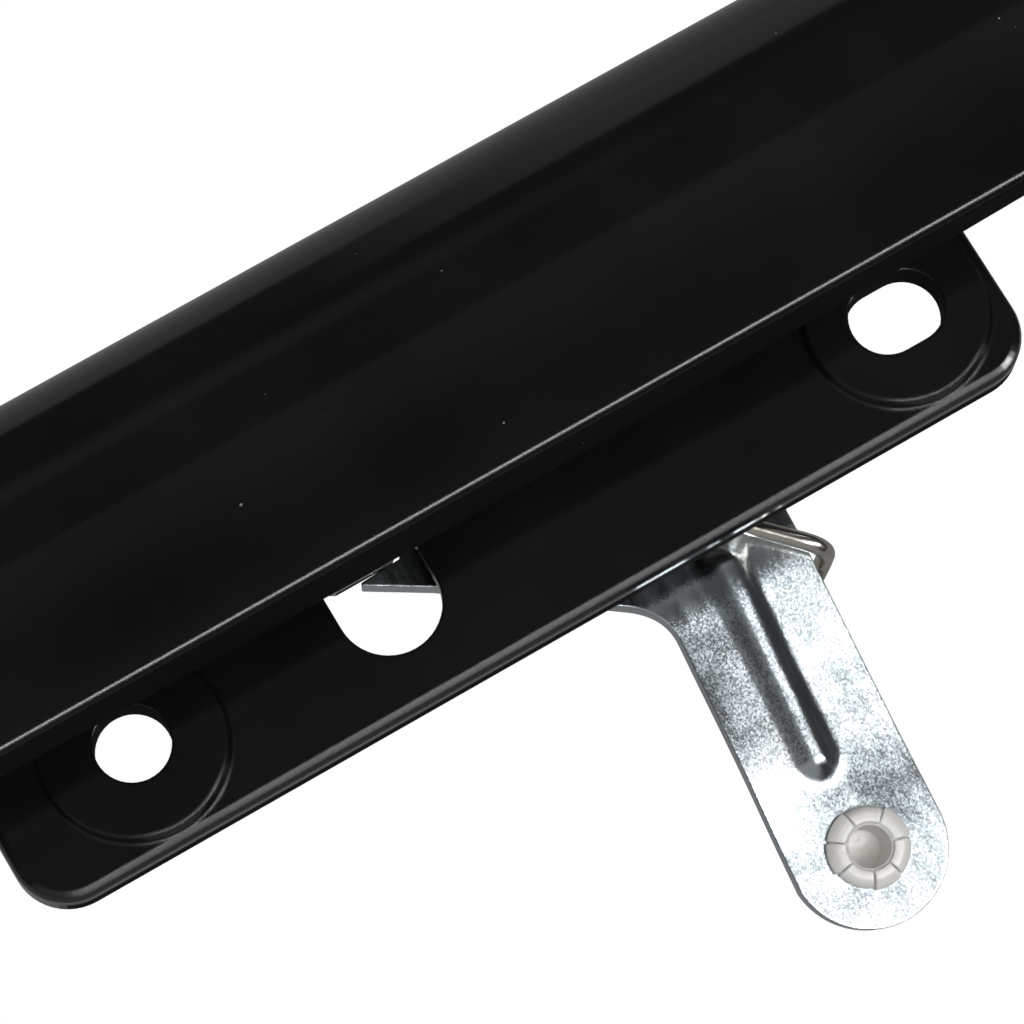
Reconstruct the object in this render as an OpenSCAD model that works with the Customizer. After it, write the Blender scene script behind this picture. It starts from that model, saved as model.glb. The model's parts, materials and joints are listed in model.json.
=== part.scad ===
// Pull-handle latch operator: a crowned paddle hinged on a die-cast mounting
// plate. A finger behind the paddle passes through the plate and turns a
// bell crank whose long lever pulls a latch rod.
//
// Frame: +X runs along the paddle, +Z points up, -Y points out to the user.
// The origin lies on the plate's rear mounting plane, midway between the
// axes of the two mounting holes.

/* [Mounting plate] */
// Distance between the two mounting holes
hole_pitch = 84; // [70:1:100]
// Diameter of the round mounting hole and width of the slotted one
hole_d = 7.4; // [5:0.1:8]
// End-to-end length of the slotted mounting hole
slot_len = 9.6; // [8.4:0.1:11]
// Plate end on the left, from the middle between the holes
plate_left = 57.4; // [56:0.1:64]
// Plate end on the right, from the middle between the holes
plate_right = 52.4; // [52:0.1:64]
// Plate edge below the line of the holes
plate_low = 10.4; // [10:0.1:14]
// Plate edge above the line of the holes
plate_high = 27.6; // [27:0.1:32]
// Height of the plate's front face above the mounting plane
plate_depth = 4; // [3.4:0.1:5]
// Thickness of the plate's face
face_t = 2; // [1.8:0.1:2.4]
// Thickness of the rim that runs round the back of the plate
rim_t = 2.4; // [1.8:0.1:3]
// Radius of the plate's corners
corner_r = 5.5; // [4:0.1:6]
// Radius on the plate's front edge
edge_r = 0.9; // [0.4:0.1:1.2]
// Height of the round pads above the front face
pad_rise = 1; // [0.6:0.1:1.4]
// Radius of the top of a pad
pad_r = 8.9; // [8:0.1:9]
// Radius of the foot of a pad
pad_foot_r = 9.4; // [9.1:0.1:9.6]

/* [Finger slot] */
// Centre of the slot that the finger passes through
act_x = -14.4; // [-16:0.1:-13]
// Width of the slot
act_w = 10.2; // [9:0.1:11]
// Bottom of the slot below the line of the holes
act_low = 5.2; // [5:0.1:6]
// Top of the slot above the line of the holes
act_high = 19; // [18:0.5:21]

/* [Paddle] */
// Length of the paddle
bar_len = 172; // [150:1:180]
// Centre of the paddle along X
bar_x = -10; // [-12:0.5:-4]
// Lower edge of the paddle above the line of the holes
bar_low = 1.2; // [0.8:0.1:2]
// Top of the paddle above the line of the holes
bar_high = 33.1; // [32.6:0.1:34]
// Crown of the paddle in front of the mounting plane
bar_front = 21.6; // [21:0.1:22]
// Middle of the lower flange's rear edge in front of the mounting plane
bar_back = 13; // [12.8:0.1:13.4]
// Rear edge of the paddle's roof in front of the mounting plane
roof_back = 11.2; // [11:0.1:11.6]
// Radius of the lower flange's bowed rear edge
bow_r = 680; // [600:10:1200]
// Wall thickness
bar_wall = 2.4; // [2:0.1:2.6]
// Radius of the rolled-back upper part
roll_r = 12; // [11.5:0.1:12.5]
// Depth of the shallow hollow across the lower part of the face
face_hollow = 0.3; // [0:0.05:0.5]

/* [Hinge] */
// Hinge axis in front of the mounting plane
hinge_out = 11.5; // [11.3:0.1:11.7]
// Hinge axis above the line of the holes
hinge_z = 23; // [22.8:0.1:23.2]
// Diameter of the hinge pin
pin_d = 4.5; // [4:0.1:4.6]
// Radius of the ears and lugs round the pin
ear_r = 4.6; // [4.4:0.1:4.8]
// Swing of the paddle in degrees
swing = 35; // [25:1:36]

/* [Bell crank] */
// Pivot of the bell crank along X
pivot_x = 16.8; // [16:0.1:17.5]
// Pivot of the bell crank above the line of the holes
pivot_z = 2.5; // [2:0.1:3]
// Front face of the crank behind the mounting plane
crank_y = 4.2; // [4.2:0.1:4.6]
// Sheet thickness of the crank
crank_t = 2.3; // [2:0.1:2.5]
// Radius of the crank's hub
hub_r = 8.5; // [8:0.1:9]
// Turn of the crank over the full swing of the paddle, in degrees
crank_swing = 12; // [8:1:12]
// Height of the arm's ledge that the finger presses
ledge_z = 5; // [4.6:0.1:5.2]
// Lever end along X
lever_x = 14.8; // [14:0.1:15.5]
// Lever end below the line of the holes, measured along the sheet
lever_low = 41.7; // [38:0.1:46]
// Radius of the rounded lever end
lever_r = 7.9; // [7.5:0.1:8.2]
// Rearward bend of the lever in degrees
lever_bend = 10; // [4:0.5:12]
// Height of the bend line
bend_z = -13; // [-13.5:0.1:-12.5]

/* [Rod bushing] */
// Hole in the bushing for the latch rod
rod_d = 4.1; // [3.6:0.1:4.2]
// Diameter of the bushing's body
bush_d = 6.6; // [6.2:0.1:6.8]

/* [Springs] */
// Wire of the crank's torsion spring
crank_wire = 1.8; // [1.6:0.1:1.8]
// Mean radius of the crank spring's coil
crank_coil_r = 5.8; // [5.7:0.1:6.2]
// Wire of the paddle's torsion spring
pad_wire = 1.3; // [1:0.1:1.4]
// Turns of the paddle spring
pad_turns = 5; // [3:1:6]

/* [Hidden] */

paint = [0.03, 0.03, 0.035];
zinc = [0.70, 0.75, 0.78];
steel = [0.62, 0.61, 0.58];
nylon = [0.90, 0.88, 0.87];
rubber = [0.10, 0.10, 0.10];

round_fn = 64;      // segments of exact round features
blend_fn = 48;      // segments of corners that are hulled
eps = 0.05;         // overlap that keeps cuts clean
fit = 0.05;         // radial running clearance

// Plate
plate_w = plate_left + plate_right;
plate_h = plate_low + plate_high;
face_y = -plate_depth;
face_back = face_y + face_t;
rib_t = 2.5;
boss_r = 4.5;
boss_end = crank_y - 0.4;
stud_d = 6;
stud_seat = -2.6;
peg_r = 1.5;

// Hinge
hinge_y = -hinge_out;
ear_t = 3.5;
lug_t = 4;
lug_left = -38;
lug_right = 26;
side_gap = 0.5;
ear_left = lug_left + lug_t + side_gap;
ear_right = lug_right - side_gap - ear_t;
bush_wall = 1;
bush_flange = 0.35;
pin_head_r = 3.4;
pin_head_t = 1.5;
pin_start = lug_left - 0.2;
pin_end = lug_right + lug_t + 1.8;
clip_t = 0.7;
clip_gap = 0.3;
clip_x = lug_right + lug_t + clip_gap;

// Carrier
web_front = -17.2;
web_t = 2;
web_back = web_front + web_t;
web_low = 5.4;
web_high = 18.6;
screw_xz = [[-31, 9], [-6, 10], [6, 10], [22.5, 9]];
screw_d = 4;
screw_head_r = 3.4;
screw_head_t = 2;
screw_boss_r = 3.6;
screw_depth = 2.2;
hole_spare = 0.4;
bumper_xz = [[-24.5, 9.5], [17, 14.2]];
bumper_r = 4;
bumper_tip = -12.9;
stop_r = 3.4;

// Finger
finger_x = -14.8;
finger_w = 6.2;
finger_gap = 0.15;
finger_edge = finger_x + finger_w / 2;
swing_ratio = crank_swing / swing;

// Crank
crank_back = crank_y + crank_t;
shoulder_r = 4;
neck_r = 3;
washer_t = 0.3;
rear_washer_t = 0.5;
flare_r = 6.3;
flare_z = -15.4;
flare_x = 9 - flare_r;
bend_top = -11;
bend_lap = 0.3;
lap_in = 0.06;
bead_r = 2.9;
bead_sink = 1.7;
arm_top = 8.2;
arm_root_x = -9.4;
arm_toe_x = -15.2;
arm_under = [[-15, 4.7], [-8.8, 1], [5.4, -9.4]];
edge_slope = 0.0554;
groove_y = crank_back + 0.1 + rear_washer_t + 0.1;
stud_end = groove_y + clip_t + 1;

// Paddle section
roll_z = bar_high - roll_r;
ridge_r = 1;
hollow_r = 90;
end_round = 7;
plan_round = 6;
end_extra = 0.15;

// Rod bushing
bush_nose = 1.6;
bush_cap = 0.8;
split_w = 0.9;

// Springs
hook_angle = 224;
hook_run = 17;
coil_pitch = crank_wire + 0.02;
coil_start_y = face_back + 0.2 + crank_wire / 2;
anchor_z = 15;
pad_coil_r = pin_d / 2 + 0.6 + pad_wire / 2;
pad_coil_x = -10.6;

// Plate outline as four rounded corner discs
module plate_corners(inset) {
    for (x = [-plate_left, plate_right], z = [-plate_low, plate_high])
        translate([x - sign(x) * corner_r, z - sign(z) * corner_r]) circle(r = corner_r - inset, $fn = blend_fn);
}

// Extrudes a drawing made in X and Z from y0 rearwards
module slab(y0, t) {
    translate([0, y0 + t, 0]) rotate([90, 0, 0]) linear_extrude(t) children();
}

// Extrudes a drawing made in Y and Z along X
module along_x(x0, w) {
    translate([x0, 0, 0]) rotate([90, 0, 90]) linear_extrude(w) children();
}

// A cylinder along Y
module peg(x, z, y0, y1, r, r2 = undef) {
    translate([x, y0, z]) rotate([-90, 0, 0])
        cylinder(r1 = r, r2 = is_undef(r2) ? r : r2, h = y1 - y0, $fn = round_fn);
}

// A cylinder along X on the hinge axis
module hinge_rod(x0, x1, r) {
    translate([x0, hinge_y, hinge_z]) rotate([0, 90, 0]) cylinder(r = r, h = x1 - x0, $fn = round_fn);
}

// Solid plate blank with its rounded front edge
module plate_blank() {
    hull() {
        slab(face_y + edge_r, plate_depth - edge_r) plate_corners(0);
        slab(face_y + edge_r * 0.29, edge_r) plate_corners(edge_r * 0.29);
        slab(face_y, edge_r) plate_corners(edge_r);
    }
}

// Ear that carries one end of the hinge pin
module ear(x0) {
    along_x(x0, ear_t) difference() {
        union() {
            translate([hinge_y, hinge_z]) circle(r = ear_r, $fn = round_fn);
            polygon([[hinge_y - 1.2, hinge_z - ear_r + 0.16], [face_y + 0.5, hinge_z - 8.5],
                     [face_y + 0.5, plate_high - 0.4], [hinge_y, hinge_z + ear_r]]);
        }
        translate([hinge_y, hinge_z]) circle(r = pin_d / 2 + 0.02, $fn = round_fn);
    }
}

module base_plate() {
    color(paint) {
        difference() {
            union() {
                difference() {
                    plate_blank();
                    slab(face_back, plate_depth) plate_corners_inner();
                }
                for (s = [-1, 1]) {
                    peg(s * hole_pitch / 2, 0, face_y - pad_rise, face_y + eps, pad_r, pad_foot_r);
                    peg(s * hole_pitch / 2, 0, face_back - eps, face_back + 0.8, pad_foot_r - 2);
                }
                translate([-rib_t / 2, face_back - eps, -plate_low + rim_t / 2])
                    cube([rib_t, -face_back + eps, plate_h - rim_t]);
                peg(pivot_x, pivot_z, face_back - eps, boss_end, boss_r);
                peg(pivot_x - crank_coil_r - crank_wire / 2 - peg_r - 0.1, anchor_z, face_back - eps, 0, peg_r);
                ear(ear_left);
                ear(ear_right);
            }
            peg(-hole_pitch / 2, 0, face_y - 2 * pad_rise, 1, hole_d / 2);
            slab(face_y - 2 * pad_rise, plate_depth + 3) mounting_slot();
            slab(face_y - eps, plate_depth + 1) finger_slot();
            peg(pivot_x, pivot_z, stud_seat, boss_end + eps, stud_d / 2);
            for (p = bumper_xz) peg(p[0], p[1], face_y - eps, 1, bumper_r - 1.5);
        }
    }
}

// Hollow behind the face, inside the rim
module plate_corners_inner() {
    inner_r = corner_r - rim_t;
    w = plate_w - 2 * rim_t;
    h = plate_h - 2 * rim_t;
    translate([-plate_left + rim_t, -plate_low + rim_t]) {
        translate([inner_r, 0]) square([w - 2 * inner_r, h]);
        translate([0, inner_r]) square([w, h - 2 * inner_r]);
        for (x = [inner_r, w - inner_r], z = [inner_r, h - inner_r])
            translate([x, z]) circle(r = inner_r, $fn = round_fn);
    }
}

module mounting_slot() {
    run = slot_len - hole_d;
    translate([hole_pitch / 2, 0]) {
        square([run, hole_d], center = true);
        for (s = [-1, 1]) translate([s * run / 2, 0]) circle(d = hole_d, $fn = round_fn);
    }
}

module finger_slot() {
    end_r = act_w / 2;
    translate([act_x, 0]) {
        translate([-end_r, end_r - act_low]) square([act_w, act_low + act_high - 2 * end_r]);
        for (z = [end_r - act_low, act_high - end_r])
            translate([0, z]) circle(r = end_r, $fn = round_fn);
    }
}

// Paddle section drawn in Y and Z, pulled in by the wall for its inner
// surface: a shallow hollow face between the lower ridge and the rolled top
module bar_section(inset) {
    front = inset - bar_front;
    low = bar_low + inset;
    difference() {
        union() {
            translate([roll_r - bar_front, roll_z]) circle(r = roll_r - inset, $fn = 2 * round_fn);
            translate([front, low + ridge_r]) square([roll_r - inset, roll_z - low - ridge_r]);
            translate([front + ridge_r, low]) square([roll_r - inset - ridge_r, 3 * ridge_r]);
            translate([front + ridge_r, low + ridge_r]) circle(r = ridge_r, $fn = round_fn);
        }
        hollow_z = bar_low + ridge_r + 0.35 * (roll_z - bar_low);
        translate([face_hollow - hollow_r - bar_front, hollow_z]) circle(r = hollow_r + inset, $fn = 360);
    }
}

// Block with the paddle's outline from the front and from above
module bar_block(inset) {
    end_r = end_round - inset;
    plan_r = plan_round - inset;
    half = bar_len / 2 - inset;
    low = bar_low - 1 + inset;
    high = bar_high + 1 - inset;
    intersection() {
        slab(-bar_front - 1, bar_front + 1 - roof_back + inset) translate([bar_x, 0]) {
            translate([-half + end_r, low]) square([2 * (half - end_r), high - low]);
            translate([-half, low + end_r]) square([2 * half, high - low - 2 * end_r]);
            for (s = [-1, 1], z = [low + end_r, high - end_r])
                translate([s * (half - end_r), z]) circle(r = end_r, $fn = round_fn);
        }
        translate([bar_x, 0, low - 1]) linear_extrude(high - low + 2) {
            front = inset - bar_front - end_extra;
            translate([-half + plan_r, front]) square([2 * (half - plan_r), bar_front]);
            translate([-half, front + plan_r]) square([2 * half, bar_front]);
            for (s = [-1, 1])
                translate([s * (half - plan_r), front + plan_r]) circle(r = plan_r, $fn = round_fn);
        }
    }
}

// Trims the lower flange to its bowed rear edge
module flange_trim() {
    flange_top = bar_low + bar_wall + eps;
    difference() {
        translate([bar_x - bar_len, -bar_front, bar_low - 2]) cube([2 * bar_len, bar_front, flange_top - bar_low + 2]);
        translate([bar_x, -bar_back - bow_r, bar_low - 3]) cylinder(r = bow_r, h = bar_wall + 5, $fn = 720);
    }
}

module handle_bar() {
    color(paint) difference() {
        union() {
            difference() {
                intersection() {
                    along_x(bar_x - bar_len / 2 - 1, bar_len + 2) bar_section(0);
                    bar_block(0);
                }
                intersection() {
                    along_x(bar_x - bar_len / 2 - 1, bar_len + 2) bar_section(bar_wall);
                    bar_block(bar_wall);
                }
                flange_trim();
            }
            for (p = screw_xz) peg(p[0], p[1], -bar_front + bar_wall / 2, web_front, screw_boss_r);
        }
        for (p = screw_xz) peg(p[0], p[1], web_front - screw_depth - hole_spare, web_front + eps, screw_d / 2);
    }
}

// Height of the ledge under the finger's inner edge once the crank has
// turned with the paddle by angle a
function ledge_height(a) = let (f = a * swing_ratio, rise = ledge_z - pivot_z,
    run = (finger_edge - pivot_x + rise * sin(f)) / cos(f)) pivot_z + run * sin(f) + rise * cos(f);
// The point of the finger that touches the crank's front face at angle a,
// turned back to the rest position
function cam_point(a) = let (dy = crank_y - hinge_y, dz = ledge_height(a) + finger_gap - hinge_z)
    [hinge_y + dy * cos(a) - dz * sin(a), hinge_z + dz * cos(a) + dy * sin(a)];

module finger() {
    tip = cam_point(swing);
    under = [for (a = [0:5:swing]) cam_point(a)];
    outline = concat([[web_back - 0.5, 6.4], [hinge_y + 3, 4.3], [face_y + 1, 3.5], [face_back + 2, 3.9]],
        under, [tip + [1.2, 1.6], tip + [0.6, 4.2], tip + [-2.4, 4.4], [6, 12.2], [0, 12.4], [-7, 14.2],
        [web_back - 0.5, 17.2]]);
    along_x(finger_x - finger_w / 2, finger_w) offset(r = 0.7, $fn = 32) offset(delta = -0.7) polygon(outline);
}

module lug(x0) {
    along_x(x0, lug_t) hull() {
        translate([hinge_y, hinge_z]) circle(r = ear_r, $fn = blend_fn);
        translate([web_front, web_low + 2]) square([web_t + 2.4, 8]);
    }
}

module handle_carrier() {
    color(paint) difference() {
        union() {
            translate([lug_left, web_front, web_low])
                cube([lug_right + lug_t - lug_left, web_t, web_high - web_low]);
            lug(lug_left);
            lug(lug_right);
            finger();
            for (p = bumper_xz) peg(p[0], p[1], web_back - eps, bumper_tip - 0.05, stop_r);
            translate([lug_left, web_back - eps, web_low])
                cube([lug_right + lug_t - lug_left, 1.4, 1.6]);
        }
        for (x = [lug_left, lug_right]) hinge_rod(x - eps, x + lug_t + eps, pin_d / 2 + fit + bush_wall);
        for (p = screw_xz) peg(p[0], p[1], web_front - eps, web_back + eps, screw_d / 2 + 0.2);
        for (p = screw_xz) peg(p[0], p[1], web_back, web_back + 2, screw_head_r + 0.4);
    }
}

module carrier_screws() {
    color(steel) for (p = screw_xz) difference() {
        union() {
            peg(p[0], p[1], web_front - screw_depth, web_back + eps, screw_d / 2 - 0.03);
            peg(p[0], p[1], web_back + 0.02, web_back + screw_head_t, screw_head_r, screw_head_r - 0.7);
        }
        for (a = [0, 90]) translate([p[0], web_back + screw_head_t, p[1]]) rotate([0, a, 0])
            cube([3.4, 2.4, 0.8], center = true);
    }
}

module hinge_pin() {
    color(zinc) difference() {
        union() {
            hinge_rod(pin_start - eps, pin_end, pin_d / 2);
            hinge_rod(pin_start - pin_head_t, pin_start, pin_head_r);
        }
        difference() {
            hinge_rod(clip_x - 0.05, clip_x + clip_t + 0.05, pin_d);
            hinge_rod(clip_x - 1, clip_x + clip_t + 1, pin_d / 2 - 0.6);
        }
    }
}

// Open retaining ring drawn flat, for a groove of the given radius
module ring_clip(groove_r, outer_r) {
    difference() {
        circle(r = outer_r, $fn = round_fn);
        circle(r = groove_r + 0.5, $fn = round_fn);
        translate([-groove_r, 0]) square([2 * groove_r, 2 * outer_r]);
    }
    for (a = [-150, -90, -30]) rotate(a) translate([groove_r + 0.02, -0.8]) square([outer_r - groove_r - 0.5, 1.6]);
}

module pin_clip() {
    color(steel) translate([0, hinge_y, hinge_z]) along_x(clip_x, clip_t) ring_clip(pin_d / 2 - 0.6, 4.4);
}

module hinge_bush(x0, face, flange_side) {
    flange_x = face + (flange_side > 0 ? 0 : -bush_flange);
    color(nylon) difference() {
        union() {
            hinge_rod(x0, x0 + lug_t, pin_d / 2 + fit + bush_wall);
            hinge_rod(flange_x, flange_x + bush_flange, ear_r - 0.2);
        }
        hinge_rod(x0 - 1, x0 + lug_t + 1, pin_d / 2 + fit);
    }
}

module hinge_bush_left() {
    hinge_bush(lug_left, lug_left + lug_t, 1);
}

module hinge_bush_right() {
    hinge_bush(lug_right, lug_right, -1);
}

// Tube along a path, with its section carried along without twist
function unit(v) = v / norm(v);
function tangent(p, i) = unit(p[min(i + 1, len(p) - 1)] - p[max(i - 1, 0)]);
function carry(p, i, n) = i == len(p) ? [] : let (t = tangent(p, i), m = unit(n - (n * t) * t))
    concat([m], carry(p, i + 1, m));
module wire(path, r, n0, sides = 10) {
    frames = carry(path, 0, n0);
    points = [for (i = [0:len(path) - 1]) let (b = cross(tangent(path, i), frames[i]))
        for (k = [0:sides - 1]) path[i] + r * (cos(360 * k / sides) * frames[i] + sin(360 * k / sides) * b)];
    last = (len(path) - 1) * sides;
    walls = [for (i = [0:len(path) - 2], k = [0:sides - 1]) let (j = (k + 1) % sides, a = i * sides)
        [a + k, a + sides + k, a + sides + j, a + j]];
    polyhedron(points, concat(walls, [[for (k = [0:sides - 1]) k]], [[for (k = [sides - 1:-1:0]) last + k]]));
}

// Paddle spring: one leg hooks the front of the carrier's web, the other
// stands on the plate's face above the pin
module handle_spring() {
    pitch = pad_wire + 0.12;
    lead_angle = 150;
    tail_angle = 85;
    total = 360 * (pad_turns - 1) + lead_angle - tail_angle;
    steps = ceil(total / 20);
    coil = [for (i = [0:steps]) let (a = total * i / steps, b = lead_angle - a)
        [pad_coil_x + pitch * a / 360, hinge_y + pad_coil_r * cos(b), hinge_z + pad_coil_r * sin(b)]];
    hook_y = web_front - pad_wire / 2 - 0.1;
    reach = (coil[0][1] - hook_y) / sin(lead_angle);
    hook = [pad_coil_x, hook_y, coil[0][2] + reach * cos(lead_angle)];
    last = coil[steps];
    run = (face_y - pad_wire / 2 - 0.05 - last[1]) / sin(tail_angle);
    tail = last + run * [0, sin(tail_angle), -cos(tail_angle)];
    color(steel) wire(concat([hook - [0, 0, 7], hook], coil, [tail]), pad_wire / 2, [1, 0, 0], 8);
}

// Rubber stop pressed into the plate
module bumper_body(p) {
    color(rubber) {
        peg(p[0], p[1], bumper_tip + 1, face_y, bumper_r - 0.8, bumper_r);
        peg(p[0], p[1], bumper_tip, bumper_tip + 1, bumper_r - 1.6, bumper_r - 0.8);
        peg(p[0], p[1], face_y - eps, face_back + eps, bumper_r - 1.55);
        peg(p[0], p[1], face_back, face_back + 1.2, bumper_r - 0.4, bumper_r - 1.4);
    }
}

module bumper_left() {
    bumper_body(bumper_xz[0]);
}

module bumper_right() {
    bumper_body(bumper_xz[1]);
}

module pivot_stud() {
    color(zinc) difference() {
        union() {
            peg(pivot_x, pivot_z, stud_seat, boss_end + eps, stud_d / 2);
            peg(pivot_x, pivot_z, boss_end, crank_back + 0.1, shoulder_r);
            peg(pivot_x, pivot_z, crank_back, stud_end, neck_r);
        }
        difference() {
            peg(pivot_x, pivot_z, groove_y, groove_y + clip_t + 0.1, neck_r + 1);
            peg(pivot_x, pivot_z, groove_y - 1, groove_y + clip_t + 1, neck_r - 0.6);
        }
    }
}

module washer(y0, t, inner_r, outer_r) {
    difference() {
        peg(pivot_x, pivot_z, y0, y0 + t, outer_r);
        peg(pivot_x, pivot_z, y0 - 1, y0 + t + 1, inner_r);
    }
}

module crank_washer_front() {
    color(nylon) washer(boss_end + 0.05, washer_t, shoulder_r + 0.1, hub_r - 1.5);
}

module crank_washer_rear() {
    color(zinc) washer(crank_back + 0.12, rear_washer_t - 0.02, neck_r + 0.1, hub_r - 2);
}

module pivot_clip() {
    color(steel) translate([pivot_x, 0, pivot_z]) slab(groove_y + 0.05, clip_t) ring_clip(neck_r - 0.6, 5.4);
}

// Right edge of the crank below its hub
function right_edge(z) = lever_x + lever_r + (z + lever_low) * edge_slope;

// Pattern of the crank's flat upper part, drawn in X and Z
module hub_pattern() {
    top_z = pivot_z + hub_r;
    low_z = bend_z - bend_lap;
    arm = [[pivot_x - hub_r - 0.3, top_z], [arm_root_x, arm_top], [arm_root_x - 0.7, ledge_z],
           [arm_toe_x + 0.6, ledge_z], [arm_toe_x, ledge_z - 0.2]];
    difference() {
        union() {
            translate([pivot_x, pivot_z]) circle(r = hub_r, $fn = round_fn);
            polygon(concat([[right_edge(low_z), low_z], [right_edge(bend_top), bend_top],
                [pivot_x + hub_r, pivot_z], [pivot_x, top_z]], arm, arm_under,
                [[flare_x + 4, bend_z + 1.5], [flare_x + 4.3, low_z]]));
        }
        translate([flare_x, flare_z]) circle(r = flare_r, $fn = round_fn);
        translate([pivot_x, pivot_z]) circle(r = shoulder_r + fit, $fn = round_fn);
    }
}

// Pattern of the lever below the bend line, drawn in X and Z
module lever_pattern() {
    difference() {
        union() {
            translate([lever_x, -lever_low]) circle(r = lever_r, $fn = round_fn);
            polygon([[lever_x - lever_r, -lever_low], [right_edge(-lever_low), -lever_low],
                     [right_edge(bend_z) - lap_in, bend_z - 0.05], [flare_x + 5.3, bend_z - 0.05],
                     [flare_x + flare_r, flare_z - 0.5]]);
        }
        translate([flare_x, flare_z]) circle(r = flare_r + lap_in, $fn = round_fn);
    }
}

// Carries children from the flat pattern to the bent lower part of the lever
module bent() {
    translate([0, crank_y + bend_lap, bend_z]) rotate([lever_bend, 0, 0])
        translate([0, -crank_y - bend_lap, -bend_z]) children();
}

// Pressed stiffening bead that runs down the lever
module bead() {
    top = [16.4, -11.4];
    low = [14.7, -32.6];
    tilt = atan2(top[0] - low[0], top[1] - low[1]);
    run = norm(top - low);
    translate([low[0], crank_y + bead_sink, low[1]]) rotate([0, tilt, 0]) {
        cylinder(r = bead_r, h = run, $fn = round_fn);
        sphere(r = bead_r, $fn = round_fn);
        translate([0, 0, run]) sphere(r = bead_r, $fn = round_fn);
    }
}

module bell_crank() {
    color(zinc) {
        slab(crank_y, crank_t) hub_pattern();
        bent() difference() {
            union() {
                slab(crank_y, crank_t) lever_pattern();
                intersection() {
                    bead();
                    translate([0, crank_y - bead_r, -lever_low]) cube([30, bead_r + crank_t / 2, lever_low]);
                }
            }
            peg(lever_x, -lever_low, crank_y - 1, crank_back + 1, bush_d / 2 + 0.1);
        }
    }
}

// Crank spring: the fixed leg stands against the cast peg, the coil sits
// round the boss, and the free leg crosses the lever and hooks its edge
module crank_spring() {
    turn = 720 + hook_angle - 180;
    function coil_at(a) = [pivot_x + crank_coil_r * cos(a), coil_start_y + coil_pitch * (a - 180) / 360,
        pivot_z + crank_coil_r * sin(a)];
    coil = [for (i = [0:48]) coil_at(180 + turn * i / 48)];
    out = [cos(hook_angle + 90), 0, sin(hook_angle + 90)];
    last = coil[48];
    knee = last + out * hook_run;
    depth = crank_back + crank_wire / 2 + 1.1 - knee[1];
    bend_r = 1.6;
    round_out = [for (a = [0:22.5:90]) knee + bend_r * sin(a) * out + [0, bend_r * (1 - cos(a)), 0]];
    back = unit([-0.85, 0, -0.5]);
    corner = knee + bend_r * out + [0, depth - bend_r, 0];
    round_back = [for (a = [0:22.5:90]) corner + bend_r * (1 - cos(a)) * back + [0, bend_r * sin(a), 0]];
    fixed = coil[0] + [0, 0, anchor_z - pivot_z + 2];
    color(steel) wire(concat([fixed], coil, round_out, round_back, [corner + back * 4.5 + [0, bend_r, 0]]),
        crank_wire / 2, [0, 1, 0]);
}

// Snap bushing: split barbed fingers in front, a closed flange behind
module rod_bushing() {
    barb_out = 0.9;
    barb_y = crank_y - 0.7;
    start = crank_y - bush_nose;
    bore_end = crank_back + 1.5;
    color(nylon) bent() difference() {
        union() {
            peg(lever_x, -lever_low, start, crank_back + 0.1, bush_d / 2);
            peg(lever_x, -lever_low, barb_y, crank_y - 0.05, bush_d / 2 + barb_out);
            peg(lever_x, -lever_low, start, barb_y, bush_d / 2 - 0.1, bush_d / 2 + barb_out);
            peg(lever_x, -lever_low, crank_back + 0.05, bore_end + bush_cap, bush_d / 2 + 1.6);
        }
        peg(lever_x, -lever_low, start - 1, bore_end, rod_d / 2);
        for (a = [20, 80, 140]) translate([lever_x, start, -lever_low]) rotate([0, a, 0])
            cube([12, 2 * (bush_nose + barb_out), split_w], center = true);
    }
}

base_plate();
handle_bar();
handle_carrier();
carrier_screws();
hinge_pin();
pin_clip();
hinge_bush_left();
hinge_bush_right();
handle_spring();
bumper_left();
bumper_right();
pivot_stud();
crank_washer_front();
bell_crank();
crank_washer_rear();
pivot_clip();
crank_spring();
rod_bushing();
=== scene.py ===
import bmesh
import bpy
import json
import math
from mathutils import Matrix, Vector, noise
from mathutils.geometry import delaunay_2d_cdt


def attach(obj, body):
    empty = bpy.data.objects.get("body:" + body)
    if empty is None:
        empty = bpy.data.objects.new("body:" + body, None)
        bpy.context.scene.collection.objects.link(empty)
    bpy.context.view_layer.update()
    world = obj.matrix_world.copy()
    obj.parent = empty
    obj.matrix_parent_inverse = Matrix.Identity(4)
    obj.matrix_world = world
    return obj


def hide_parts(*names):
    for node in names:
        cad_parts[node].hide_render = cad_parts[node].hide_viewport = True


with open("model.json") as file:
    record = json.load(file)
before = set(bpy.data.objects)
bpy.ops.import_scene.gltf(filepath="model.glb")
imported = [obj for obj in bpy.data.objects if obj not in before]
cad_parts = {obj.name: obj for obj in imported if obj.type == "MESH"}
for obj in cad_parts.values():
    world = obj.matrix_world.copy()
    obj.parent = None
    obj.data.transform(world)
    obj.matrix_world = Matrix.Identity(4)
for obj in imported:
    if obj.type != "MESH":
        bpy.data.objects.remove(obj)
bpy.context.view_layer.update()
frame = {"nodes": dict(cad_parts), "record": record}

# Shapes are in mm and degrees, in the frame's own axes. Materials, lights and the
# backdrop are in metres, as Blender is.
MM = 0.001
RECORD = frame["record"]
JOINT_AT = {joint["name"]: [v / MM for v in joint["pos_m"]] for joint in RECORD["behaviour"]["joints"]}
MOUNT_AT = {mount["name"]: [v / MM for v in mount["pos_m"]] for mount in RECORD["mounts"]}
PIVOT_X, _, PIVOT_Z = JOINT_AT["crank_pivot"]
_, HINGE_Y, HINGE_Z = JOINT_AT["handle_hinge"]
EYE_X = MOUNT_AT["rod_bore"][0]
HOLE_X = MOUNT_AT["slotted_hole"][0]
PLATE_FRONT_Y = -4.0
PLATE_INSIDE_Y = -2.0


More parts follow.
